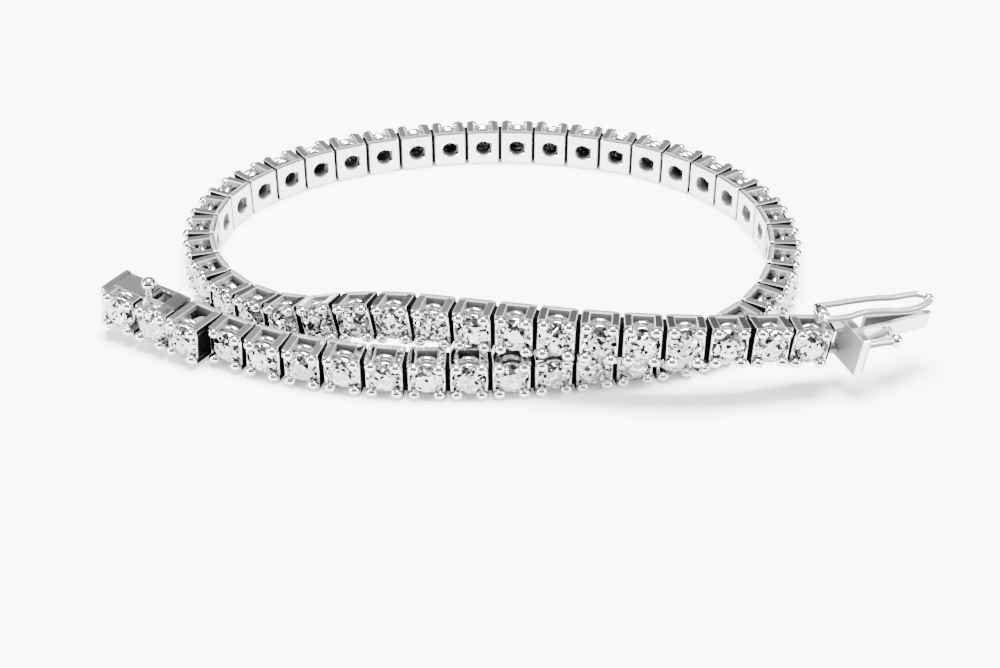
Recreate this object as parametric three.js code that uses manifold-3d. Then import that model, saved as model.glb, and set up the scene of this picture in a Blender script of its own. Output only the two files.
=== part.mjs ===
// Tennis bracelet: sixty round stones in four-prong settings, hinged one behind the other into a
// line, with a box clasp at one end, a sprung tongue at the other and a wire safety catch.
// It lies unclasped on the edges of its settings, stones facing out, in one oval loop whose two
// ends cross at the front: the tongue end rides on top of the box end.
//
// Every piece is drawn in the frame of a setting: +X along the chain from the box end to the
// tongue end, +Y through the setting towards the wrist, +Z across it (up, for a standing setting).
// The stone looks towards -Y. Millimetres and degrees throughout.
import * as THREE from 'three';
import { mergeVertices } from 'three/addons/utils/BufferGeometryUtils.js';
import Module from 'manifold-3d';

const wasm = await Module();
wasm.setup();

// ---- Driving dimensions -------------------------------------------------------------------
const pitch = 2.9;            // from one setting's middle to the next
const settingLength = 2.6;    // along the chain
const settingWidth = 3.0;     // across the chain: the height of a standing setting
const settingDepth = 2.55;    // from the wrist side to the tips of the prongs
const pinInset = 0.775;       // the hinge line, in from the wrist side
const boxRise = 1.0;          // how much further out the stones at the box end sit
const backPlateDepth = 1.15;
const slotWidth = 1.4;        // the hole behind each stone, and the slot for the last one's tongue
const hingeTongue = { width: 0.8, depth: 0.45, reach: 0.5 };
const endWall = { length: 0.5, seat: 0.7 };
const prongWidth = 0.6;
const weld = 0.1;             // how far pieces soldered together run into each other

// The stone: its diameter and its table's, and how deep its table, girdle and culet lie below the
// tips of the prongs.
const gem = { diameter: 2.5, table: 1.5, top: 0.08, girdle: 0.5, culet: 1.6, sides: 8 };

const boxPlate = { thickness: 0.45, depth: 3.05, proud: 0.08 };
const boxFloor = 0.4;         // from a setting's front to the front of the box's body
const boxPocket = { length: 4.7, height: 1.9, depth: 1.4, wall: 0.35 };
const boxWindow = { from: 2.0, to: 3.05, outward: 0.6, inward: 0.75, bottom: 0.5 };
const boxEndWall = 1.1;
const knob = { diameter: 1.15, neck: 0.55, height: 1.3, along: 1.45, inward: -0.1 };

const tonguePlate = { thickness: 0.8, depth: 3.05, width: 3.0, outward: 0.7 };
const lug = { from: -1.3, depth: 0.8, width: 0.45, middle: 0.95 };
const spring = { width: 1.3, height: 1.0 };
const thumbRod = { length: 2.8, width: 0.75, thickness: 0.45, ball: 0.95, height: 0.4, outward: 1.35 };
const knuckle = { diameter: 0.9, bore: 0.62, length: 1.0, along: 0.75, inward: 0.6, height: 2.05 };
const catchTurn = 7;          // how far the closed safety catch points inwards of its setting
const catchClimb = 5;         // and how far it slopes up from it
const wire = { diameter: 0.46, length: 8.3, nib: 0.75 };

// The outline of the tongue's folded spring, from the plate's face: along it, and inwards.
const springOutline = [
  [-0.1, -1.15], [6.05, -0.4], [6.2, -0.2], [6.05, 0.0],
  [0.9, 0.5], [0.9, 0.15], [5.0, -0.27], [-0.1, -0.8],
];

// The safety catch's loop, from its hinge to its nib: how far along it lies, and how far its
// inner and its outer wire stand off its middle line.
const catchOutline = [
  { along: 0.0, inward: 0.85, outward: 0.85 },
  { along: 1.5, inward: 0.87, outward: 0.90 },
  { along: 3.0, inward: 0.92, outward: 0.60 },
  { along: 4.5, inward: 0.88, outward: 0.75 },
  { along: 5.7, inward: 0.70, outward: 1.00 },
  { along: 6.8, inward: 0.75, outward: 0.90 },
  { along: 7.7, inward: 0.70, outward: 0.55 },
];

// ---- How the chain lies -------------------------------------------------------------------
// One row for each run of settings, from the box end. turn: how far each setting turns left of
// the one before it. climb and lean: the slope along the chain, and how far the stones tip up,
// at the run's last setting, reached in equal steps.
const start = { x: -27.463, y: -8.479, z: 2.288, heading: -28.7, climb: -4.4, lean: 3.7 };
const runs = [
  { name: 'box_side_setting', settings: 1, turn: -2.0, climb: -4.0, lean: 3 },
  { name: 'strand_01', settings: 3, turn: 4.8, climb: 0.0, lean: 0 },
  { name: 'strand_02', settings: 3, turn: 4.8, climb: 0.0, lean: 0 },
  { name: 'strand_03', settings: 3, turn: 3.6, climb: 0.0, lean: 0 },
  { name: 'strand_04', settings: 3, turn: 2.1, climb: 0.0, lean: 0 },
  { name: 'strand_05', settings: 3, turn: 14.0, climb: 0.0, lean: 0 },
  { name: 'strand_06', settings: 3, turn: 10.3, climb: 0.0, lean: 0 },
  { name: 'strand_07', settings: 3, turn: 12.3, climb: 0.0, lean: 0 },
  { name: 'strand_08', settings: 4, turn: 9.0, climb: 0.0, lean: 0 },
  { name: 'strand_09', settings: 4, turn: 5.5, climb: 0.0, lean: 0 },
  { name: 'strand_10', settings: 4, turn: 4.7, climb: 0.0, lean: 0 },
  { name: 'strand_11', settings: 3, turn: 8.4, climb: 0.0, lean: 0 },
  { name: 'strand_12', settings: 3, turn: 14.6, climb: 0.0, lean: 0 },
  { name: 'strand_13', settings: 3, turn: 14.4, climb: 0.0, lean: 0 },
  { name: 'strand_14', settings: 3, turn: 8.9, climb: 18.5, lean: 10 },
  { name: 'strand_15', settings: 3, turn: 1.1, climb: 4.0, lean: 0.5 },
  { name: 'strand_16', settings: 3, turn: 2.3, climb: -0.5, lean: 7 },
  { name: 'strand_17', settings: 3, turn: 3.0, climb: -1.5, lean: 9 },
  { name: 'strand_18', settings: 2, turn: 5.4, climb: -6.0, lean: 7 },
  { name: 'catch_setting', settings: 1, turn: -2.5, climb: -7.0, lean: 2.0 },
];
const tongueEnd = { turn: 15, climb: -7, lean: -3 };

// ---- Materials ----------------------------------------------------------------------------
const whiteGold = () => new THREE.MeshStandardMaterial({ color: 0xdcdcda, metalness: 1, roughness: 0.18 });

// ---- Solids -------------------------------------------------------------------------------
function solid(geometry) {
  geometry.deleteAttribute('normal');
  geometry.deleteAttribute('uv');
  const merged = mergeVertices(geometry, 1e-5);
  return new wasm.Manifold(new wasm.Mesh({
    numProp: 3,
    vertProperties: Float32Array.from(merged.attributes.position.array),
    triVerts: Uint32Array.from(merged.index.array),
  }));
}

function geometryOf(manifold) {
  const mesh = manifold.getMesh();
  const geometry = new THREE.BufferGeometry();
  geometry.setAttribute('position', new THREE.BufferAttribute(mesh.vertProperties, 3));
  geometry.setIndex(new THREE.BufferAttribute(mesh.triVerts, 1));
  return geometry;
}

const join = (pieces) => pieces.reduce((whole, piece) => whole.add(piece));
const placed = (piece, matrix) => piece.transform(matrix.elements);
const moved = (piece, x, y, z) => piece.translate([x, y, z]);

function block(x0, x1, y0, y1, z0, z1) {
  const geometry = new THREE.BoxGeometry(x1 - x0, y1 - y0, z1 - z0);
  geometry.translate((x0 + x1) / 2, (y0 + y1) / 2, (z0 + z1) / 2);
  return solid(geometry);
}

// An outline carried along one axis, from low to high. The outline's two numbers run along the
// next two axes in turn: y and z for x, z and x for y, x and y for z.
const carry = {
  x: new THREE.Matrix4().set(0, 0, 1, 0, 1, 0, 0, 0, 0, 1, 0, 0, 0, 0, 0, 1),
  y: new THREE.Matrix4().set(0, 1, 0, 0, 0, 0, 1, 0, 1, 0, 0, 0, 0, 0, 0, 1),
  z: new THREE.Matrix4(),
};
function extrusion(shape, axis, low, high, curveSegments = 2) {
  const geometry = new THREE.ExtrudeGeometry(shape, {
    depth: high - low, bevelEnabled: false, curveSegments,
  });
  geometry.translate(0, 0, low);
  geometry.applyMatrix4(carry[axis]);
  return solid(geometry);
}
const outline = (points) => new THREE.Shape(points.map(([u, v]) => new THREE.Vector2(u, v)));

// A round rod or tapered rod along +Y, drawn as radius and height pairs that start and end on
// the axis, and turned onto another axis where needed.
function turned(profile, sides) {
  const points = profile.map(([radius, height]) => new THREE.Vector2(radius, height));
  return solid(new THREE.LatheGeometry(points, sides));
}
function rod(radius, low, high, sides) {
  return turned([[0, low], [radius, low], [radius, high], [0, high]], sides);
}
const uprightRod = (radius, low, high, sides) => rod(radius, low, high, sides).rotate([90, 0, 0]);

function ball(radius, sides) {
  return solid(new THREE.SphereGeometry(radius, sides, sides / 2));
}

// ---- One setting --------------------------------------------------------------------------
const back = settingDepth / 2;
const half = settingWidth / 2;

// The plate on the wrist side: a rectangle with a slot that runs in from the rear end and opens
// into the round hole behind the stone.
function backPlate() {
  const end = settingLength / 2;
  const slot = slotWidth / 2;
  const shape = outline([[-half, -end], [-slot, -end]]);
  shape.lineTo(-slot, 0);
  shape.absarc(0, 0, slot, Math.PI, 0, true);
  shape.lineTo(slot, -end);
  shape.lineTo(half, -end);
  shape.lineTo(half, end);
  shape.lineTo(-half, end);
  return extrusion(shape, 'y', back - backPlateDepth, back, 2);
}

// A wall across one end of the setting, with a prong standing on each of its two corners.
function prongedWall(front, x0, x1) {
  const seat = front + endWall.seat;
  const inner = half - prongWidth;
  const foot = back - backPlateDepth;
  return extrusion(outline([
    [foot, -half], [foot, half], [front, half], [front, inner],
    [seat, inner], [seat, -inner], [front, -inner], [front, -half],
  ]), 'x', x0, x1);
}

// The stone, table outwards: an eight-sided turned body seated on the edges of the two end walls.
function stone(front) {
  const { diameter, table, top, girdle, culet, sides } = gem;
  return turned([
    [0, front + top], [table / 2, front + top], [diameter / 2, front + girdle], [0, front + culet],
  ], sides).rotate([0, 180 / sides, 0]);
}

// The tongue that a setting's hinge turns on. Inside a run it fills the next one's slot, as a
// pinned tongue does; at the end of a run it stands clear of the slot's walls.
function hingeTongueSolid(width) {
  const { depth, reach } = hingeTongue;
  const hingeY = back - pinInset;
  return block(settingLength / 2 - weld, pitch / 2 + reach,
    hingeY - depth / 2, hingeY + depth / 2, -width / 2, width / 2);
}

function setting(rise, tongueWidth) {
  const front = -back - rise;
  const end = settingLength / 2;
  return join([
    backPlate(),
    prongedWall(front, end - endWall.length, end),
    prongedWall(front, -end, endWall.length - end),
    stone(front),
    hingeTongueSolid(tongueWidth),
  ]);
}

// ---- The chain of frames ------------------------------------------------------------------
const radians = THREE.MathUtils.degToRad;

// The way a setting stands: turned to its heading, then climbing, then leaning back.
function attitude(heading, climb, lean) {
  const euler = new THREE.Euler(-radians(lean), -radians(climb), radians(heading), 'ZYX');
  return new THREE.Matrix4().makeRotationFromEuler(euler);
}

const hingeAhead = new THREE.Vector3(pitch / 2, back - pinInset, 0);
const hingeBehind = new THREE.Vector3(-pitch / 2, back - pinInset, 0);

// The frame of the setting that hangs on another one's front hinge.
function nextFrame(frame, heading, climb, lean) {
  const next = attitude(heading, climb, lean);
  const hinge = hingeAhead.clone().applyMatrix4(frame);
  const origin = hinge.sub(hingeBehind.clone().applyMatrix4(next));
  return next.setPosition(origin);
}

function chainFrames() {
  const box = attitude(start.heading, start.climb, start.lean);
  box.setPosition(start.x, start.y, start.z);
  const last = { heading: start.heading, climb: start.climb, lean: start.lean };
  // The box holds two settings, so the run after it hangs on the second one's hinge.
  let frame = box.clone().multiply(new THREE.Matrix4().makeTranslation(pitch, 0, 0));
  const frames = runs.map((run) => {
    const from = { ...last };
    return Array.from({ length: run.settings }, (_, index) => {
      const share = (index + 1) / run.settings;
      last.heading += run.turn;
      last.climb = from.climb + (run.climb - from.climb) * share;
      last.lean = from.lean + (run.lean - from.lean) * share;
      frame = nextFrame(frame, last.heading, last.climb, last.lean);
      return frame;
    });
  });
  const tongue = nextFrame(frame, last.heading + tongueEnd.turn, tongueEnd.climb, tongueEnd.lean);
  return { box, frames, tongue };
}

// ---- Pieces -------------------------------------------------------------------------------
// A run of settings, each in its own frame, joined at the hinges inside the run.
function strand(frames, rise) {
  const toRun = frames[0].clone().invert();
  return join(frames.map((frame, index) => {
    const isLast = index === frames.length - 1;
    const tongueWidth = isLast ? hingeTongue.width : slotWidth + 2 * weld;
    return placed(setting(rise, tongueWidth), toRun.clone().multiply(frame));
  }));
}

// The box: two settings over a pocket for the tongue, an end plate with the pocket's mouth, a
// wall at the chain's end and a knob on the upper side for the safety catch.
function claspBox() {
  const front = -back - boxRise;
  const end = settingLength / 2;
  const far = pitch + end;
  const mouth = -end - boxPlate.thickness;
  const plateEdge = half + boxPlate.proud;
  const plateBack = back + boxPlate.proud;
  const floor = -back + boxFloor;
  const body = join([
    block(-end, far, floor, back, -half, half),
    block(far - boxEndWall, far, front + endWall.seat, floor, -half, half),
    block(mouth, -end, plateBack - boxPlate.depth, plateBack, -plateEdge, plateEdge),
    ...[-end, end - endWall.length, pitch - end, far - endWall.length]
      .map((x) => prongedWall(front, x, x + endWall.length)),
    stone(front),
    moved(stone(front), pitch, 0, 0),
    moved(hingeTongueSolid(hingeTongue.width), pitch, 0, 0),
  ]);
  const pocketBack = back - boxPocket.wall;
  const pocket = block(mouth - weld, mouth + boxPocket.length, pocketBack - boxPocket.depth, pocketBack,
    -boxPocket.height / 2, boxPocket.height / 2);
  const window = block(boxWindow.from, boxWindow.to, -boxWindow.outward, boxWindow.inward,
    boxWindow.bottom, half + weld);
  const ballHeight = half + knob.height - knob.diameter / 2;
  const button = moved(join([
    uprightRod(knob.neck / 2, half - weld, ballHeight, 8),
    moved(ball(knob.diameter / 2, 10), 0, 0, ballHeight),
  ]), knob.along, knob.inward, 0);
  return body.subtract(pocket).subtract(window).add(button);
}

// The tongue: an end plate, lugs for the last hinge, a strip folded back on itself as a spring,
// and a ball-ended rod for the thumb.
function claspTongue() {
  const face = tonguePlate.thickness / 2;
  const plateFront = -tonguePlate.depth / 2 - tonguePlate.outward;
  const plate = block(-face, face, plateFront, plateFront + tonguePlate.depth,
    -tonguePlate.width / 2, tonguePlate.width / 2);

  const hingeY = back - pinInset;
  const ear = block(lug.from, weld - face, hingeY - lug.depth / 2, hingeY + lug.depth / 2,
    -lug.width / 2, lug.width / 2);
  const lugs = [1, -1].map((side) => moved(ear, 0, 0, side * lug.middle));

  const strip = moved(extrusion(outline(springOutline), 'z', -spring.width / 2, spring.width / 2),
    face, 0, spring.height);

  const bar = block(face - weld, face + thumbRod.length, -thumbRod.thickness / 2, thumbRod.thickness / 2,
    -thumbRod.width / 2, thumbRod.width / 2);
  const thumb = moved(join([bar, moved(ball(thumbRod.ball / 2, 10), face + thumbRod.length, 0, 0)]),
    0, -thumbRod.outward, thumbRod.height);
  return join([plate, ...lugs, strip, thumb]);
}

// The knuckle that the safety catch turns on, drawn about its own axis and standing on a foot
// that reaches down to the setting's upper side.
function catchKnuckle() {
  const { diameter, bore, length } = knuckle;
  const footEnd = half - knuckle.height - weld;
  const foot = block(-diameter / 2, diameter / 2, -length / 2, length / 2, footEnd, 0);
  const sleeve = rod(diameter / 2, -length / 2, length / 2, 10);
  return join([foot, sleeve]).subtract(rod(bore / 2, -length, length, 10));
}

// The safety catch: a waisted loop of wire, closed by the pin that it turns on and by a nib at
// its tip. Its frame has the pin's middle as origin.
function safetyCatch() {
  const inner = catchOutline.map(({ along, inward }) => new THREE.Vector3(along, inward, 0));
  const outer = catchOutline.map(({ along, outward }) => new THREE.Vector3(along, -outward, 0)).reverse();
  const tip = new THREE.Vector3(wire.length, 0, 0);
  const path = new THREE.CatmullRomCurve3([...inner, tip, ...outer], false, 'centripetal');
  const radius = wire.diameter / 2;
  const section = new THREE.Shape();
  section.absarc(0, 0, radius, 0, Math.PI * 2);
  const loop = solid(new THREE.ExtrudeGeometry(section, {
    steps: 30, curveSegments: 3, bevelEnabled: false, extrudePath: path,
  }));
  const reach = catchOutline[0].inward + weld;
  const pin = rod(radius, -reach, reach, 8);
  const nib = moved(ball(wire.nib / 2, 8), wire.length - weld, 0, 0);
  return join([loop, pin, nib]);
}

// ---- Assembly -----------------------------------------------------------------------------
const group = new THREE.Group();

function place(name, piece, matrix) {
  const mesh = new THREE.Mesh(geometryOf(piece), whiteGold());
  mesh.name = name;
  mesh.applyMatrix4(matrix);
  group.add(mesh);
}

const chain = chainFrames();
place('clasp_box', claspBox(), chain.box);

const lastSetting = chain.frames.at(-1)[0];
const catchTurned = new THREE.Matrix4().makeRotationFromEuler(
  new THREE.Euler(0, -radians(catchClimb), radians(catchTurn), 'ZYX'));
catchTurned.setPosition(knuckle.along, knuckle.inward, knuckle.height);

runs.forEach(({ name }, index) => {
  const frames = chain.frames[index];
  const piece = strand(frames, name === 'box_side_setting' ? boxRise : 0);
  const whole = name === 'catch_setting' ? piece.add(placed(catchKnuckle(), catchTurned)) : piece;
  place(name, whole, frames[0]);
});
place('clasp_tongue', claspTongue(), chain.tongue);
place('safety_catch', safetyCatch(), lastSetting.clone().multiply(catchTurned));

export default group;
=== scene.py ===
# %% [markdown]
# # A tennis bracelet on a pale studio floor
#
# Sixty round stones in four-prong settings of white gold, hinged into a line and lying on its
# edge in one oval loop. Every shape below is a numpy surface made of closed section loops. One
# detailed setting is drawn once and carried to each place in the chain.
#
# A setting's own frame: +X along the chain, +Y towards the wrist, +Z across it. The stone looks
# towards -Y. Shapes are worked out in millimetres and go to metres when an object is made.

# %% The frame to build around
import math

import bpy
import numpy as np
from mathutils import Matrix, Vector


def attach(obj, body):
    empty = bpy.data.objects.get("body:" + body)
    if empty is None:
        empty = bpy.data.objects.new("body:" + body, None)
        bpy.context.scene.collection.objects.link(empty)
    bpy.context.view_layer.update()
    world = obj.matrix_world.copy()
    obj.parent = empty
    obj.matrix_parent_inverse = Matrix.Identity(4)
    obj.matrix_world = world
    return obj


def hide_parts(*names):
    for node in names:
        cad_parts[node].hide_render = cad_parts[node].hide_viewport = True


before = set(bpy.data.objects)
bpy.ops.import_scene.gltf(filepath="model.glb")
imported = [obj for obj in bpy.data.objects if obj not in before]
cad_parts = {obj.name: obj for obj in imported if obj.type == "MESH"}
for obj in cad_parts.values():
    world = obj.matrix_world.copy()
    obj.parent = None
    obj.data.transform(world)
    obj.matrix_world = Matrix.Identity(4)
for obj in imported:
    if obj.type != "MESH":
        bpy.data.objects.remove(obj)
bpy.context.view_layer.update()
MM = 0.001
rng = np.random.default_rng(60)

# %% Driving dimensions, the same as the solids'
PITCH = 2.9
LENGTH, WIDTH, DEPTH = 2.6, 3.0, 2.55
BACK, HALF, END = DEPTH / 2, WIDTH / 2, LENGTH / 2
FLANK = END + 0.04     # where the posts and walls end, a little proud of the back plate
PIN_INSET = 0.775
HINGE_Y = BACK - PIN_INSET
BOX_RISE = 1.0
STONE = 2.5
GIRDLE = 0.52          # from a setting's front to its stone's girdle
END_PLATE = 3.05       # height of the box's and the tongue's end plates

START = dict(x=-27.463, y=-8.479, z=2.288, heading=-28.7, climb=-4.4, lean=3.7)

# name, settings, turn, climb, lean
RUNS = [
    ("box_side_setting", 1, -2.0, -4.0, 3.0),
    ("strand_01", 3, 4.8, 0.0, 0.0),
    ("strand_02", 3, 4.8, 0.0, 0.0),
    ("strand_03", 3, 3.6, 0.0, 0.0),
    ("strand_04", 3, 2.1, 0.0, 0.0),
    ("strand_05", 3, 14.0, 0.0, 0.0),
    ("strand_06", 3, 10.3, 0.0, 0.0),
    ("strand_07", 3, 12.3, 0.0, 0.0),
    ("strand_08", 4, 9.0, 0.0, 0.0),
    ("strand_09", 4, 5.5, 0.0, 0.0),
    ("strand_10", 4, 4.7, 0.0, 0.0),
    ("strand_11", 3, 8.4, 0.0, 0.0),
    ("strand_12", 3, 14.6, 0.0, 0.0),
    ("strand_13", 3, 14.4, 0.0, 0.0),
    ("strand_14", 3, 8.9, 18.5, 10.0),
    ("strand_15", 3, 1.1, 4.0, 0.5),
    ("strand_16", 3, 2.3, -0.5, 7.0),
    ("strand_17", 3, 3.0, -1.5, 9.0),
    ("strand_18", 2, 5.4, -6.0, 7.0),
    ("catch_setting", 1, -2.5, -7.0, 2.0),
]
TONGUE_END = dict(turn=15.0, climb=-7.0, lean=-3.0)
KNUCKLE = dict(along=0.75, inward=0.6, height=2.05, diameter=0.9, bore=0.62, length=1.0)
CATCH_TURN, CATCH_CLIMB = 7.0, 5.0


# %% The chain of frames
def turn_about(axis, degrees):
    """A rotation by degrees about one axis, as a 4 x 4 matrix."""
    matrix = np.eye(4)
    c, s = math.cos(math.radians(degrees)), math.sin(math.radians(degrees))
    u, v = [(1, 2), (2, 0), (0, 1)]["xyz".index(axis)]
    matrix[u, u], matrix[u, v], matrix[v, u], matrix[v, v] = c, -s, s, c
    return matrix


def shift(x, y, z):
    matrix = np.eye(4)
    matrix[:3, 3] = (x, y, z)
    return matrix


def attitude(heading, climb, lean):
    """Rz(heading) Ry(-climb) Rx(-lean)."""
    return turn_about("z", heading) @ turn_about("y", -climb) @ turn_about("x", -lean)


def next_frame(here, heading, climb, lean):
    """The frame that hangs on the front hinge of another: its rear hinge meets that front hinge."""
    ahead = here @ np.array([PITCH / 2, HINGE_Y, 0, 1])
    there = attitude(heading, climb, lean)
    behind = there @ np.array([-PITCH / 2, HINGE_Y, 0, 1])
    return shift(*(ahead - behind)[:3]) @ there


def chain_frames():
    box = shift(START["x"], START["y"], START["z"]) @ attitude(
        START["heading"], START["climb"], START["lean"])
    here = box @ shift(PITCH, 0, 0)
    heading, climb, lean = START["heading"], START["climb"], START["lean"]
    frames = {}
    for name, settings, turn, last_climb, last_lean in RUNS:
        first_climb, first_lean = climb, lean
        frames[name] = []
        for index in range(settings):
            share = (index + 1) / settings
            heading += turn
            climb = first_climb + (last_climb - first_climb) * share
            lean = first_lean + (last_lean - first_lean) * share
            here = next_frame(here, heading, climb, lean)
            frames[name].append(here)
    tongue = next_frame(here, heading + TONGUE_END["turn"], TONGUE_END["climb"], TONGUE_END["lean"])
    return box, frames, tongue


box_frame, strand_frames, tongue_frame = chain_frames()
catch_frame = (
    strand_frames["catch_setting"][0]
    @ shift(KNUCKLE["along"], KNUCKLE["inward"], KNUCKLE["height"])
    @ turn_about("z", CATCH_TURN) @ turn_about("y", -CATCH_CLIMB)
)
print("settings in the chain:", 2 + sum(len(f) for f in strand_frames.values()))
print("catch hinge, mm:", np.round(catch_frame[:3, 3], 3))


# %% Surfaces: closed loops carried from station to station
class Part:
    """Points, faces, each point's painted shade for recesses (0 none, 1 full), and smooth shading.
    """

    def __init__(self, points, faces, painted_shade=0.0, smooth=False):
        self.points = np.asarray(points, float)
        self.faces = faces
        self.painted_shade = np.broadcast_to(np.asarray(painted_shade, float), len(self.points)).copy()
        self.smooth = smooth

    def at(self, matrix):
        points = self.points @ matrix[:3, :3].T + matrix[:3, 3]
        return Part(points, self.faces, self.painted_shade, self.smooth)


def volume(points, faces):
    """Six times the enclosed volume: the sum of a . (b x c) over each face's fan."""
    total = 0.0
    for face in faces:
        a = points[face[0]]
        for b, c in zip(face[1:-1], face[2:]):
            total += a @ np.cross(points[b], points[c])
    return total


def loft(rings, closed=False, painted_shade=0.0, smooth=False):
    """A skin over stations of equal loops: P(i, j) is point j of loop i. Closed joins the last
    loop to the first. Otherwise each end loop becomes a face."""
    rings = np.asarray(rings, float)
    stations, count = rings.shape[:2]
    points = rings.reshape(-1, 3)
    faces = []
    for i in range(stations if closed else stations - 1):
        k = (i + 1) % stations
        for j in range(count):
            m = (j + 1) % count
            faces.append((i * count + j, i * count + m, k * count + m, k * count + j))
    if not closed:
        faces.append(tuple(range(count))[::-1])
        faces.append(tuple((stations - 1) * count + j for j in range(count)))
    if volume(points, faces) < 0:
        faces = [face[::-1] for face in faces]
    return Part(points, faces, painted_shade, smooth)


def block(x0, x1, y0, y1, z0, z1, edge=0.06, painted_shade=0.0):
    """A box with every edge taken off at 45 degrees: the section [y0, y1] x [z0, z1] with cut
    corners, drawn in by the edge at both ends."""
    def section(x, pull):
        a0, a1, b0, b1 = y0 + pull, y1 - pull, z0 + pull, z1 - pull
        c = edge - pull * 0.5
        loop = [(a0 + c, b0), (a1 - c, b0), (a1, b0 + c), (a1, b1 - c),
                (a1 - c, b1), (a0 + c, b1), (a0, b1 - c), (a0, b0 + c)]
        return [(x, a, b) for a, b in loop]
    stations = [section(x0, edge), section(x0 + edge, 0), section(x1 - edge, 0), section(x1, edge)]
    return loft(stations, painted_shade=painted_shade)


def circle(radius, sides, start=0.0):
    """r (cos t, sin t) for t round the circle."""
    t = start + np.arange(sides) * 2 * np.pi / sides
    return np.stack([radius * np.cos(t), radius * np.sin(t)], 1)


def turned(profile, sides, closed=False, painted_shade=0.0, smooth=True):
    """A surface of revolution about Y: (r cos t, y, r sin t) for each (r, y) of the profile."""
    rings = []
    for radius, y in profile:
        flat = circle(radius, sides)
        rings.append(np.stack([flat[:, 0], np.full(sides, y), flat[:, 1]], 1))
    return loft(rings, closed=closed, painted_shade=painted_shade, smooth=smooth)


def hoop(major, minor, y, sides=40, around=10, painted_shade=0.0):
    """A torus about Y: radius major + minor cos s, height y + minor sin s."""
    s = np.arange(around) * 2 * np.pi / around
    profile = [(major + minor * math.cos(a), y + minor * math.sin(a)) for a in s]
    return turned(profile, sides, closed=True, painted_shade=painted_shade)


def ball(radius, sides=16, rows=9, squash=1.0):
    """r sin p round and r cos p along Y, for p from pole to pole."""
    p = np.linspace(0.12, np.pi - 0.12, rows)
    return turned([(radius * math.sin(a), radius * squash * math.cos(a)) for a in p], sides)


def tube(path, radius, sides=12, streak=0.0):
    """A round section carried along a path, each station's frame turned as little as it can be
    from the one before. Painted shade darkens both flanks into dark lines by the given share of
    sin^4."""
    path = np.asarray(path, float)
    tangents = np.gradient(path, axis=0)
    tangents /= np.linalg.norm(tangents, axis=1)[:, None]
    side = np.array([0.0, 0.0, 1.0])
    rings = []
    for point, tangent in zip(path, tangents):
        side = side - tangent * (side @ tangent)
        side /= np.linalg.norm(side)
        other = np.cross(tangent, side)
        rings.append([point + side * u + other * v for u, v in circle(radius, sides)])
    flank = np.sin(np.arange(sides) * 2 * np.pi / sides) ** 4
    return loft(rings, painted_shade=np.tile(streak * (flank * 0.85 + 0.15), len(path)), smooth=True)


def slab(outline, low, high, edge=0.05):
    """An outline in X and Y carried along Z, its rims drawn in by the edge."""
    outline = np.asarray(outline, float)
    before, after = np.roll(outline, 1, 0), np.roll(outline, -1, 0)
    u, v = outline - before, after - outline
    u /= np.linalg.norm(u, axis=1)[:, None]
    v /= np.linalg.norm(v, axis=1)[:, None]
    area = 0.5 * np.sum(outline[:, 0] * after[:, 1] - after[:, 0] * outline[:, 1])
    inward = np.sign(area) * np.stack([-(u + v)[:, 1], (u + v)[:, 0]], 1)
    inward /= np.linalg.norm(inward, axis=1)[:, None]
    small = outline + inward * edge
    stations = [(small, low), (outline, low + edge), (outline, high - edge), (small, high)]
    return loft([[(x, y, z) for x, y in loop] for loop, z in stations])


# %% A round brilliant
def brilliant(centre_y, diameter=STONE):
    """Table, crown, girdle and pavilion of a round brilliant looking towards -Y. A kite's plane
    is h = crown (R - x) / (R - table) and a main's is h = -pavilion (R - x) / R, so the points
    between them lie on both neighbours."""
    radius = diameter / 2
    table, star, lower = 0.56 * radius, 0.78 * radius, 0.24 * radius
    crown, girdle, pavilion = 0.155 * diameter, 0.03 * diameter, 0.43 * diameter
    cos = math.cos(math.pi / 8)
    star_height = crown * (radius - star * cos) / (radius - table)
    lower_depth = girdle + pavilion * (radius - lower * cos) / radius

    def ring(r, count, start, h):
        flat = circle(r, count, start)
        return [(x, centre_y - h, z) for x, z in flat]

    step = math.pi / 8
    points = (ring(table, 8, 0, crown) + ring(star, 8, step, star_height) + ring(radius, 16, 0, 0)
              + ring(radius, 16, 0, -girdle) + ring(lower, 8, step, -lower_depth)
              + [(0, centre_y + girdle + pavilion, 0)])
    t, s, g, b, w, culet = 0, 8, 16, 32, 48, 56
    faces = [tuple(range(8))]
    for i in range(8):
        j, left, right = (i + 1) % 8, (2 * i) % 16, (2 * i + 2) % 16
        middle = 2 * i + 1
        previous = (i - 1) % 8
        faces += [
            (t + i, s + i, t + j),
            (t + i, s + previous, g + left, s + i),
            (s + i, g + left, g + middle), (s + i, g + middle, g + right),
            (w + i, b + middle, b + left), (w + i, b + right, b + middle),
            (culet, w + i, b + left, w + previous),
        ]
    faces += [(g + k, b + k, b + (k + 1) % 16, g + (k + 1) % 16) for k in range(16)]
    points = np.array(points)
    centre = points.mean(0)
    fixed = []
    for face in faces:
        a, c, d = points[face[0]], points[face[1]], points[face[2]]
        outwards = np.cross(c - a, d - a) @ (a - centre)
        fixed.append(face if outwards > 0 else face[::-1])
    return Part(points, fixed)


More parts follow.
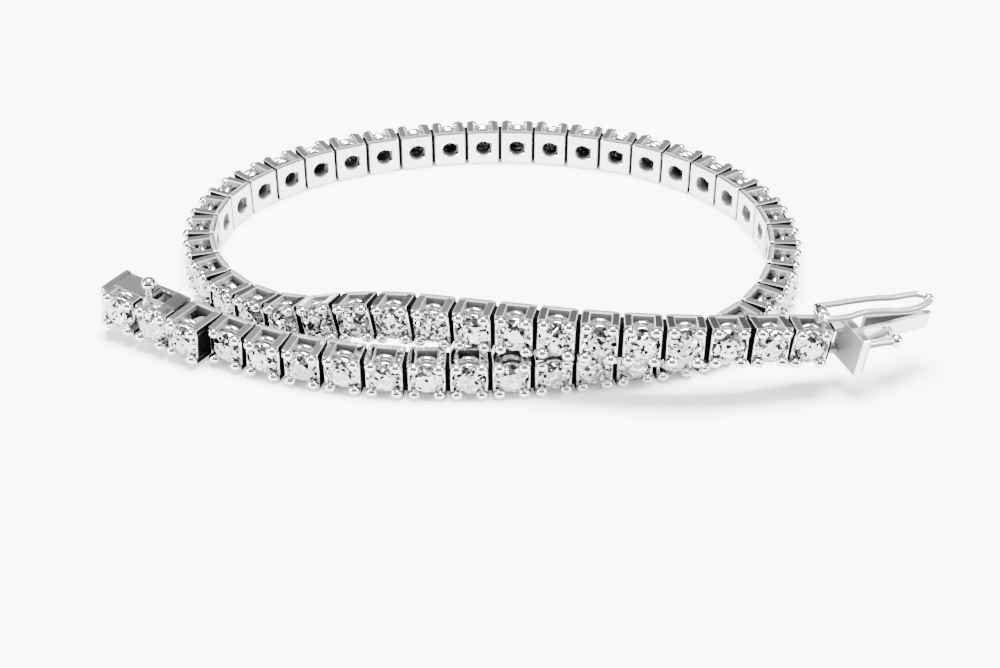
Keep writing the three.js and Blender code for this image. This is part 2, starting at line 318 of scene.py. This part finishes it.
# %% One setting's metal
def back_plate(thickness=0.45, hole=0.65, notch_size=(0.68, 0.50), edge=0.06):
    """A rectangle with a round hole squared off on one side. In polar form both outlines are
    r(t), so the plate is a loop of six stations from the rim to the hole and back."""
    sides = 64
    t = (np.arange(sides) + 0.5) * 2 * np.pi / sides
    c, s = np.cos(t), np.sin(t)

    def rectangle(x, z):
        return np.minimum(x / np.abs(c), z / np.abs(s))

    notch = np.where(c < 0, rectangle(*notch_size), 0)
    inner = np.maximum(hole, notch)

    def ring(r, y):
        return np.stack([r * c, np.full(sides, y), r * s], 1)

    outer = rectangle(END, HALF)
    drawn_in = rectangle(END - edge, HALF - edge)
    stations = [ring(outer, BACK - thickness + edge), ring(outer, BACK - edge),
                ring(drawn_in, BACK), ring(inner + edge, BACK), ring(inner, BACK - edge),
                ring(inner, BACK - thickness), ring(drawn_in, BACK - thickness)]
    # Painted shade by ring: 0.3 on the outer side's inner edge, the hole's wall from 0.5 to full,
    # the inner face 0.8, and full on the end faces towards the next setting.
    painted_shade_rings = np.repeat([0.3, 0.0, 0.0, 0.0, 0.5, 1.0, 0.8], sides).reshape(7, sides)
    painted_shade_rings[:2, np.abs(outer * c) > END - 0.01] = 1.0
    return loft(stations, closed=True, painted_shade=painted_shade_rings.ravel())


def prongs(front, foot):
    """Four flat posts at the corners, each ending in a round bead over the stone's edge."""
    post_x, post_z, post_front = 0.74, 0.98, front + 0.42
    bead_x, bead_y, bead_z, bead_radius = 0.88, front + 0.36, 1.11, 0.42
    parts = []
    for x in (-1, 1):
        for z in (-1, 1):
            x0, x1 = sorted([x * post_x, x * FLANK])
            z0, z1 = sorted([z * post_z, z * HALF])
            post = block(x0, x1, post_front, foot, z0, z1, edge=0.07)
            # Painted shade: full on the post's end face towards the next setting, 0.7 on its faces
            # into the setting.
            along, across = np.abs(post.points[:, 0]), np.abs(post.points[:, 2])
            post.painted_shade[along > FLANK - 0.01] = 1.0
            post.painted_shade[(along < post_x + 0.02) | (across < post_z + 0.02)] = 0.7
            parts.append(post)
            bead = ball(bead_radius, squash=0.88).at(np.diag([1.06, 1, 0.88, 1]))
            parts.append(bead.at(shift(x * bead_x, bead_y, z * bead_z)))
    return parts


def cradle(front, foot):
    """What holds the stone between the posts: a seat under its edge, a gallery rail behind it, and
    a cup down to the hole, painted dark with painted shade."""
    seat, rail = front + 0.78, front + 1.40
    cup = [(1.10, seat), (0.68, foot), (0.60, foot), (1.02, seat)]
    return [
        hoop(1.12, 0.16, seat),
        hoop(1.22, 0.25, rail).at(np.diag([0.86, 1, 1, 1])),
        turned(cup, 32, closed=True, painted_shade=0.8),
    ]


def end_walls(front):
    """The walls that close a setting's two ends between its posts: a trace of painted shade on the
    rims, full painted shade on the outsides that face the next setting.
    """
    walls = []
    for x in (-1, 1):
        x0, x1 = sorted([x * 1.05, x * (FLANK - 0.01)])
        wall = block(x0, x1, front + 0.56, BACK - 0.1, -1.05, 1.05, painted_shade=0.05)
        wall.painted_shade[np.abs(wall.points[:, 0]) > FLANK - 0.02] = 1.0
        walls.append(wall)
    return walls


def hinge_cheeks(front):
    """A block that stands in for the hidden hinge, from one end wall into the next, all of it
    painted dark as painted shade.
    """
    near = max(front, -BACK) + 1.0
    return block(END - 0.1, PITCH - END + 0.07, near, BACK - 0.35, -1.3, 1.3, painted_shade=1.0)


def hinge_tongue():
    """The round-ended bar that reaches into the next setting's slot."""
    reach, thick, wide = PITCH / 2 + 0.5, 0.3, 0.56
    t = np.linspace(-np.pi / 2, np.pi / 2, 9)
    nose = [(reach - thick + thick * math.cos(a), HINGE_Y + thick * math.sin(a)) for a in t]
    return slab([(1.1, HINGE_Y + thick), (1.1, HINGE_Y - thick)] + nose, -wide, wide)


def setting_metal(front, foot=BACK - 0.3):
    return prongs(front, foot) + cradle(front, foot)


def whole_setting(front):
    return (setting_metal(front) + end_walls(front)
            + [back_plate(), hinge_tongue(), hinge_cheeks(front)])


plain_setting, raised_setting = whole_setting(-BACK), whole_setting(-BACK - BOX_RISE)
print("points in one setting:", sum(len(p.points) for p in plain_setting))


# %% The box clasp
def clasp_box():
    """Two raised settings over a pocket: four walls round a hollow, an end plate with a mouth, a
    thick wall where the chain begins, and a knob."""
    front, far, top = -BACK - BOX_RISE, PITCH + END, -BACK + 0.4
    roof, floor_y = 0.95, 0.925
    window = (2.0, 3.05, -0.6, 0.75)
    mouth = -END - 0.45
    parts = [
        block(-END, far, floor_y, BACK, -HALF, HALF),
        # This plate across the box gets a little painted shade.
        block(-END, far, top, -0.475, -HALF, HALF, painted_shade=0.3),
        block(-END, far, top, BACK, -HALF, -roof),
        block(-END, 1.6, top, BACK, roof, HALF),
        block(1.68, window[0], top, BACK, roof, HALF),
        block(window[1], far, top, BACK, roof, HALF),
        block(window[0] - 0.1, window[1] + 0.1, top, window[2], roof, HALF),
        block(window[0] - 0.1, window[1] + 0.1, window[3], BACK, roof, HALF),
        block(far - 1.1, far, front + 0.7, BACK, -HALF, HALF),
        # A block in the hollow, painted fully dark as painted shade.
        block(1.9, far, -0.5, 0.95, -1.0, 0.2, painted_shade=1.0),
    ]
    plate_back, edge = BACK + 0.08, HALF + 0.08
    plate_front = plate_back - END_PLATE
    for z0, z1 in ((-edge, -roof), (roof, edge)):
        parts.append(block(mouth, -END + 0.02, plate_front, plate_back, z0, z1))
    for y0, y1 in ((plate_front, -0.475), (floor_y, plate_back)):
        parts.append(block(mouth, -END + 0.02, y0, y1, -edge + 0.02, edge - 0.02))
    for along in (0.0, PITCH):
        parts += [p.at(shift(along, 0, 0)) for p in setting_metal(front, top + 0.1)]
    parts.append(hinge_tongue().at(shift(PITCH, 0, 0)))
    knob_top = HALF + 1.3
    profile = [(0.38, HALF - 0.1), (0.30, HALF + 0.08), (0.27, HALF + 0.2), (0.29, HALF + 0.32)]
    radius = 0.575
    centre = knob_top - radius
    t = np.linspace(-0.95, np.pi / 2 - 0.1, 12)
    profile += [(radius * math.cos(a), centre + radius * math.sin(a)) for a in t]
    knob = turned(profile, 24)
    upright = shift(1.45, -0.1, 0) @ turn_about("x", 90)
    parts.append(knob.at(upright))
    return parts


# %% The tongue
SPRING = [(-0.1, -1.15), (6.05, -0.4), (6.2, -0.2), (6.05, 0.0),
          (0.9, 0.5), (0.9, 0.15), (5.0, -0.27), (-0.1, -0.8)]


def clasp_tongue():
    """End plate, two hinge lugs, a strip folded back on itself, and a thumb rod with a ball."""
    face, front = 0.4, -END_PLATE / 2 - 0.7
    # Painted shade: the plate a trace, its inner face 0.75, the backing 0.6 and the hinge lugs 0.5.
    plate = block(-face, 0.22, front, front + END_PLATE, -HALF, HALF, edge=0.08, painted_shade=0.03)
    plate.painted_shade[plate.points[:, 0] < -face + 0.01] = 0.75
    inset = 0.06
    backing = block(0.1, face, front + inset, front + END_PLATE - inset,
                    -HALF + inset, HALF - inset, painted_shade=0.6)
    parts = [plate, backing]
    for side in (-1, 1):
        z = side * 0.95
        parts.append(block(-1.3, -face + 0.1, HINGE_Y - 0.4, HINGE_Y + 0.4,
                           z - 0.225, z + 0.225, painted_shade=0.5))
    strip = slab(SPRING, -0.65, 0.65, edge=0.05)
    # Painted shade: the strip a little, its inner folds dark.
    strip.painted_shade[:] = 0.1
    strip.painted_shade[np.isin(np.round(strip.points[:, 1], 1), (0.2, -0.3, -0.8))] = 0.8
    parts.append(strip.at(shift(face, 0, 1.0)))
    t = np.linspace(0, 1, 12)
    rod = [(face - 0.1 + 2.9 * u, -1.35, 0.4 + 0.05 * math.sin(math.pi * u)) for u in t]
    # The rod's flanks get painted shade in dark lines.
    parts.append(tube(rod, 0.3, 16, streak=0.9))
    parts.append(ball(0.475, 22, 13).at(shift(face + 2.8, -1.35, 0.4)))
    return parts


# %% The safety catch and its knuckle
CATCH = [(0.0, 0.85, 0.85), (1.5, 0.87, 0.90), (3.0, 0.92, 0.60), (4.5, 0.88, 0.75),
         (5.7, 0.70, 1.00), (6.8, 0.75, 0.90), (7.7, 0.70, 0.55)]
WIRE, CATCH_LENGTH, NIB = 0.46, 8.3, 0.75


def smooth_path(points, steps=10):
    """A Catmull-Rom curve through the points: a cubic whose slope at each is half of the step
    from the one before to the one after."""
    points = np.asarray(points, float)
    padded = np.vstack([2 * points[0] - points[1], points, 2 * points[-1] - points[-2]])
    out = []
    for i in range(1, len(padded) - 2):
        a, b, c, d = padded[i - 1:i + 3]
        for u in np.arange(steps) / steps:
            out.append(0.5 * (2 * b + (c - a) * u + (2 * a - 5 * b + 4 * c - d) * u ** 2
                              + (3 * b - a - 3 * c + d) * u ** 3))
    out.append(points[-1])
    return np.array(out)


def safety_catch():
    inner = [(a, i, 0) for a, i, _ in CATCH]
    outer = [(a, -o, 0) for a, _, o in CATCH][::-1]
    path = smooth_path(inner + [(CATCH_LENGTH, 0, 0)] + outer)
    reach = 0.95
    pin = turned([(WIRE / 2 - 0.04, -reach), (WIRE / 2, -reach + 0.04), (WIRE / 2, reach - 0.04),
                  (WIRE / 2 - 0.04, reach)], 16)
    nib = ball(NIB / 2, 18, 11).at(shift(CATCH_LENGTH - 0.1, 0, 0))
    # The wire's flanks get painted shade in dark lines.
    return [tube(path, WIRE / 2, 16, streak=0.9), pin, nib]


def catch_knuckle():
    """A tube about the pin on a foot that stands on the setting's edge."""
    outer, bore, half = KNUCKLE["diameter"] / 2, KNUCKLE["bore"] / 2, KNUCKLE["length"] / 2
    sleeve = turned([(outer, -half + 0.05), (outer, half - 0.05), (outer - 0.05, half),
                     (bore, half), (bore, -half), (outer - 0.05, -half)], 28, closed=True)
    foot = HALF - KNUCKLE["height"] - 0.1
    # The foot gets a little painted shade.
    return [sleeve, block(-0.42, 0.42, -half, half, foot, -0.33, painted_shade=0.2)]


# %% Materials
class Value:
    """An output socket that can be added, multiplied and raised to a power like a number."""

    def __init__(self, nodes, socket):
        self.nodes, self.socket = nodes, socket

    def _math(self, operation, other):
        return self.nodes.make("ShaderNodeMath", operation=operation, inputs={0: self, 1: other})

    def __add__(self, other):
        return self._math("ADD", other)

    def __mul__(self, other):
        return self._math("MULTIPLY", other)

    def __pow__(self, other):
        return self._math("POWER", other)


class Nodes:
    """A node tree and its shader. make adds a node, sets it and wires its inputs."""

    def __init__(self, owner, shader="Principled BSDF"):
        owner.use_nodes = True
        self.owner, self.tree = owner, owner.node_tree
        self.surface = self.tree.nodes[shader]

    def make(self, kind, inputs=None, output=0, **settings):
        node = self.tree.nodes.new(kind)
        for key, value in settings.items():
            setattr(node, key, value)
        for key, value in (inputs or {}).items():
            self.plug(node.inputs[key], value)
        return Value(self, node.outputs[output])

    def plug(self, socket, value):
        if isinstance(value, Value):
            self.tree.links.new(value.socket, socket)
        else:
            socket.default_value = value

    def finish(self, **inputs):
        for key, value in inputs.items():
            self.plug(self.surface.inputs[key.replace("_", " ")], value)
        return self.owner


def white_gold():
    """Polished rhodium white with painted shade: brightest on open faces, painted near black and
    dull in the recesses and gaps where shade falls, with faint handling marks in the gloss."""
    polished, painted_shade_colour = (0.88, 0.88, 0.875, 1), (0.003, 0.003, 0.003, 1)
    n = Nodes(bpy.data.materials.new("white_gold"))
    place = n.make("ShaderNodeTexCoord", output="Object")
    painted_shade = n.make("ShaderNodeAttribute", attribute_name="painted_shade", output="Fac")
    cloud = n.make("ShaderNodeTexNoise", inputs={"Vector": place, "Scale": 900.0, "Detail": 4.0})
    fine = n.make("ShaderNodeTexNoise", inputs={"Vector": place, "Scale": 5200.0, "Detail": 3.0})
    # Painted shade: the base colour runs from polished white to near black as a point's painted
    # shade rises, and the metal turns dull there.
    colour = n.make("ShaderNodeMix", data_type="RGBA", output=2, inputs={
        0: painted_shade ** 0.8, 6: polished, 7: painted_shade_colour})
    bump = n.make("ShaderNodeBump", inputs={"Height": fine, "Strength": 0.06, "Distance": 0.00002})
    return n.finish(Base_Color=colour, Metallic=painted_shade * -0.95 + 1.0,
                    Roughness=cloud * 0.10 + painted_shade * 0.5 + 0.04,
                    Specular_IOR_Level=0.0, Normal=bump)


def stone_material():
    """A colourless stone with painted sparkle. Each cell of the pattern tips the normal its own
    way, n + tip (c - 1/2), and each cell and facet gets its own painted brightness in the base
    colour, from painted dark reflection to painted highlight."""
    dark, bright, tilt = (0.07, 0.073, 0.08, 1), (0.92, 0.92, 0.93, 1), (0.85, 0.85, 0.85)
    n = Nodes(bpy.data.materials.new("stones"))
    place = n.make("ShaderNodeTexCoord", output="Object")
    facet = n.make("ShaderNodeAttribute", attribute_name="facet", output="Fac")
    shard = n.make("ShaderNodeTexVoronoi", output="Color",
                   inputs={"Vector": place, "Scale": 4300.0})
    tip = n.make("ShaderNodeVectorMath", operation="SUBTRACT",
                 inputs={0: shard, 1: (0.5, 0.5, 0.5)})
    face = n.make("ShaderNodeNewGeometry", output="Normal")
    tilted = n.make("ShaderNodeVectorMath", operation="MULTIPLY_ADD", inputs={
        0: tip, 1: tilt, 2: face})
    normal = n.make("ShaderNodeVectorMath", operation="NORMALIZE", inputs={0: tilted})
    # Painted sparkle: a random value per facet and per cell sets the base colour between dark and
    # bright, standing in for the light a cut stone sends back.
    colour = n.make("ShaderNodeMix", data_type="RGBA", output=2, inputs={
        0: (facet * 0.45 + shard * 0.6) ** 1.35, 6: dark, 7: bright})
    return n.finish(Base_Color=colour, Metallic=0.8, Roughness=0.03, IOR=2.3,
                    Transmission_Weight=1.0, Normal=normal)


gold, stones = white_gold(), stone_material()


# %% Making objects
def build(name, parts, material, body, replaced=()):
    points = np.vstack([p.points for p in parts]) * MM
    faces, smooth, offset = [], [], 0
    for p in parts:
        faces += [tuple(index + offset for index in face) for face in p.faces]
        smooth += [p.smooth] * len(p.faces)
        offset += len(p.points)
    mesh = bpy.data.meshes.new(name)
    mesh.from_pydata(points.tolist(), [], faces)
    mesh.polygons.foreach_set("use_smooth", smooth)
    # Each point's painted shade goes to the mesh as an attribute.
    attribute = mesh.attributes.new("painted_shade", "FLOAT", "POINT")
    attribute.data.foreach_set("value", np.concatenate([p.painted_shade for p in parts]))
    # A random value per face, for the stones' painted sparkle.
    facets = mesh.attributes.new("facet", "FLOAT", "FACE")
    facets.data.foreach_set("value", rng.uniform(0, 1, len(faces)))
    mesh.materials.append(material)
    mesh.update()
    piece = bpy.data.objects.new(name, mesh)
    bpy.context.scene.collection.objects.link(piece)
    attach(piece, body)
    if replaced:
        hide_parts(*replaced)
    return piece


def stone_at(matrix, front):
    twist = rng.uniform(0, 360)
    return brilliant(front + GIRDLE).at(matrix @ turn_about("y", twist))


for name, frames in strand_frames.items():
    raised = name == "box_side_setting"
    template = raised_setting if raised else plain_setting
    front = -BACK - (BOX_RISE if raised else 0)
    metal = [p.at(matrix) for matrix in frames for p in template]
    if name == "catch_setting":
        metal += [p.at(catch_frame) for p in catch_knuckle()]
    build(name + "_metal", metal, gold, "bracelet", [name])
    build(name + "_stones", [stone_at(m, front) for m in frames], stones, "bracelet")

build("clasp_box_metal", [p.at(box_frame) for p in clasp_box()],
      gold, "bracelet", ["clasp_box"])
build("clasp_box_stones",
      [stone_at(box_frame @ shift(along, 0, 0), -BACK - BOX_RISE) for along in (0, PITCH)],
      stones, "bracelet")
build("clasp_tongue_metal", [p.at(tongue_frame) for p in clasp_tongue()],
      gold, "bracelet", ["clasp_tongue"])
build("safety_catch_wire", [p.at(catch_frame) for p in safety_catch()],
      gold, "safety_catch", ["safety_catch"])

# %% Floor and light
floor_mesh = bpy.data.meshes.new("floor")
side = 0.6
corners = [(-side, -side, 0), (side, -side, 0), (side, side, 0), (-side, side, 0)]
floor_mesh.from_pydata(corners, [], [(0, 1, 2, 3)])
floor_material = Nodes(bpy.data.materials.new("floor")).finish(
    Base_Color=(0.95, 0.95, 0.95, 1), Roughness=0.9,
    Emission_Color=(1, 1, 1, 1), Emission_Strength=0.3)
floor_mesh.materials.append(floor_material)
floor = bpy.data.objects.new("floor", floor_mesh)
bpy.context.scene.collection.objects.link(floor)


def studio():
    """Soft light from above that fades to a dark band at the horizon: strength by direction."""
    n = Nodes(bpy.data.worlds.new("studio"), "Background")
    way = n.make("ShaderNodeTexCoord", output="Generated")
    height = n.make("ShaderNodeSeparateXYZ", inputs={"Vector": way}, output="Z")
    strength = n.make("ShaderNodeMapRange", inputs={
        "Value": height, "From Min": 0.25, "From Max": 1.0, "To Min": 0.09, "To Max": 0.95})
    return n.finish(Color=(1, 1, 1, 1), Strength=strength)


bpy.context.scene.world = studio()


def softbox(name, where, aim, size, power):
    lamp = bpy.data.lights.new(name, "AREA")
    lamp.shape, lamp.size, lamp.size_y, lamp.energy = "RECTANGLE", size[0], size[1], power
    holder = bpy.data.objects.new(name, lamp)
    direction = np.array(aim, float) - np.array(where, float)
    holder.rotation_mode = "QUATERNION"
    holder.rotation_quaternion = Vector(direction).to_track_quat("-Z", "Y")
    holder.location = where
    bpy.context.scene.collection.objects.link(holder)


softbox("overhead", (0, 0.02, 0.30), (0, 0, 0), (0.16, 0.12), 8.0)
softbox("left", (-0.30, -0.10, 0.14), (0, 0, 0), (0.12, 0.20), 1.6)
softbox("right", (0.30, -0.12, 0.16), (0, 0, 0), (0.10, 0.20), 1.4)

# %% Where the camera stands
ELEVATION, DISTANCE = 35.8, 0.1257
AIM = (-0.000583, -0.009259, 0.0)
elevation = math.radians(ELEVATION)
camera_data = bpy.data.cameras.new("camera")
camera_data.lens, camera_data.sensor_width = 61.2, 36.0
camera_data.clip_start = 0.005
camera = bpy.data.objects.new("camera", camera_data)
camera.location = (AIM[0], AIM[1] - DISTANCE * math.cos(elevation), DISTANCE * math.sin(elevation))
camera.rotation_euler = (math.radians(90 - ELEVATION), 0, 0)
bpy.context.scene.collection.objects.link(camera)
bpy.context.scene.camera = camera
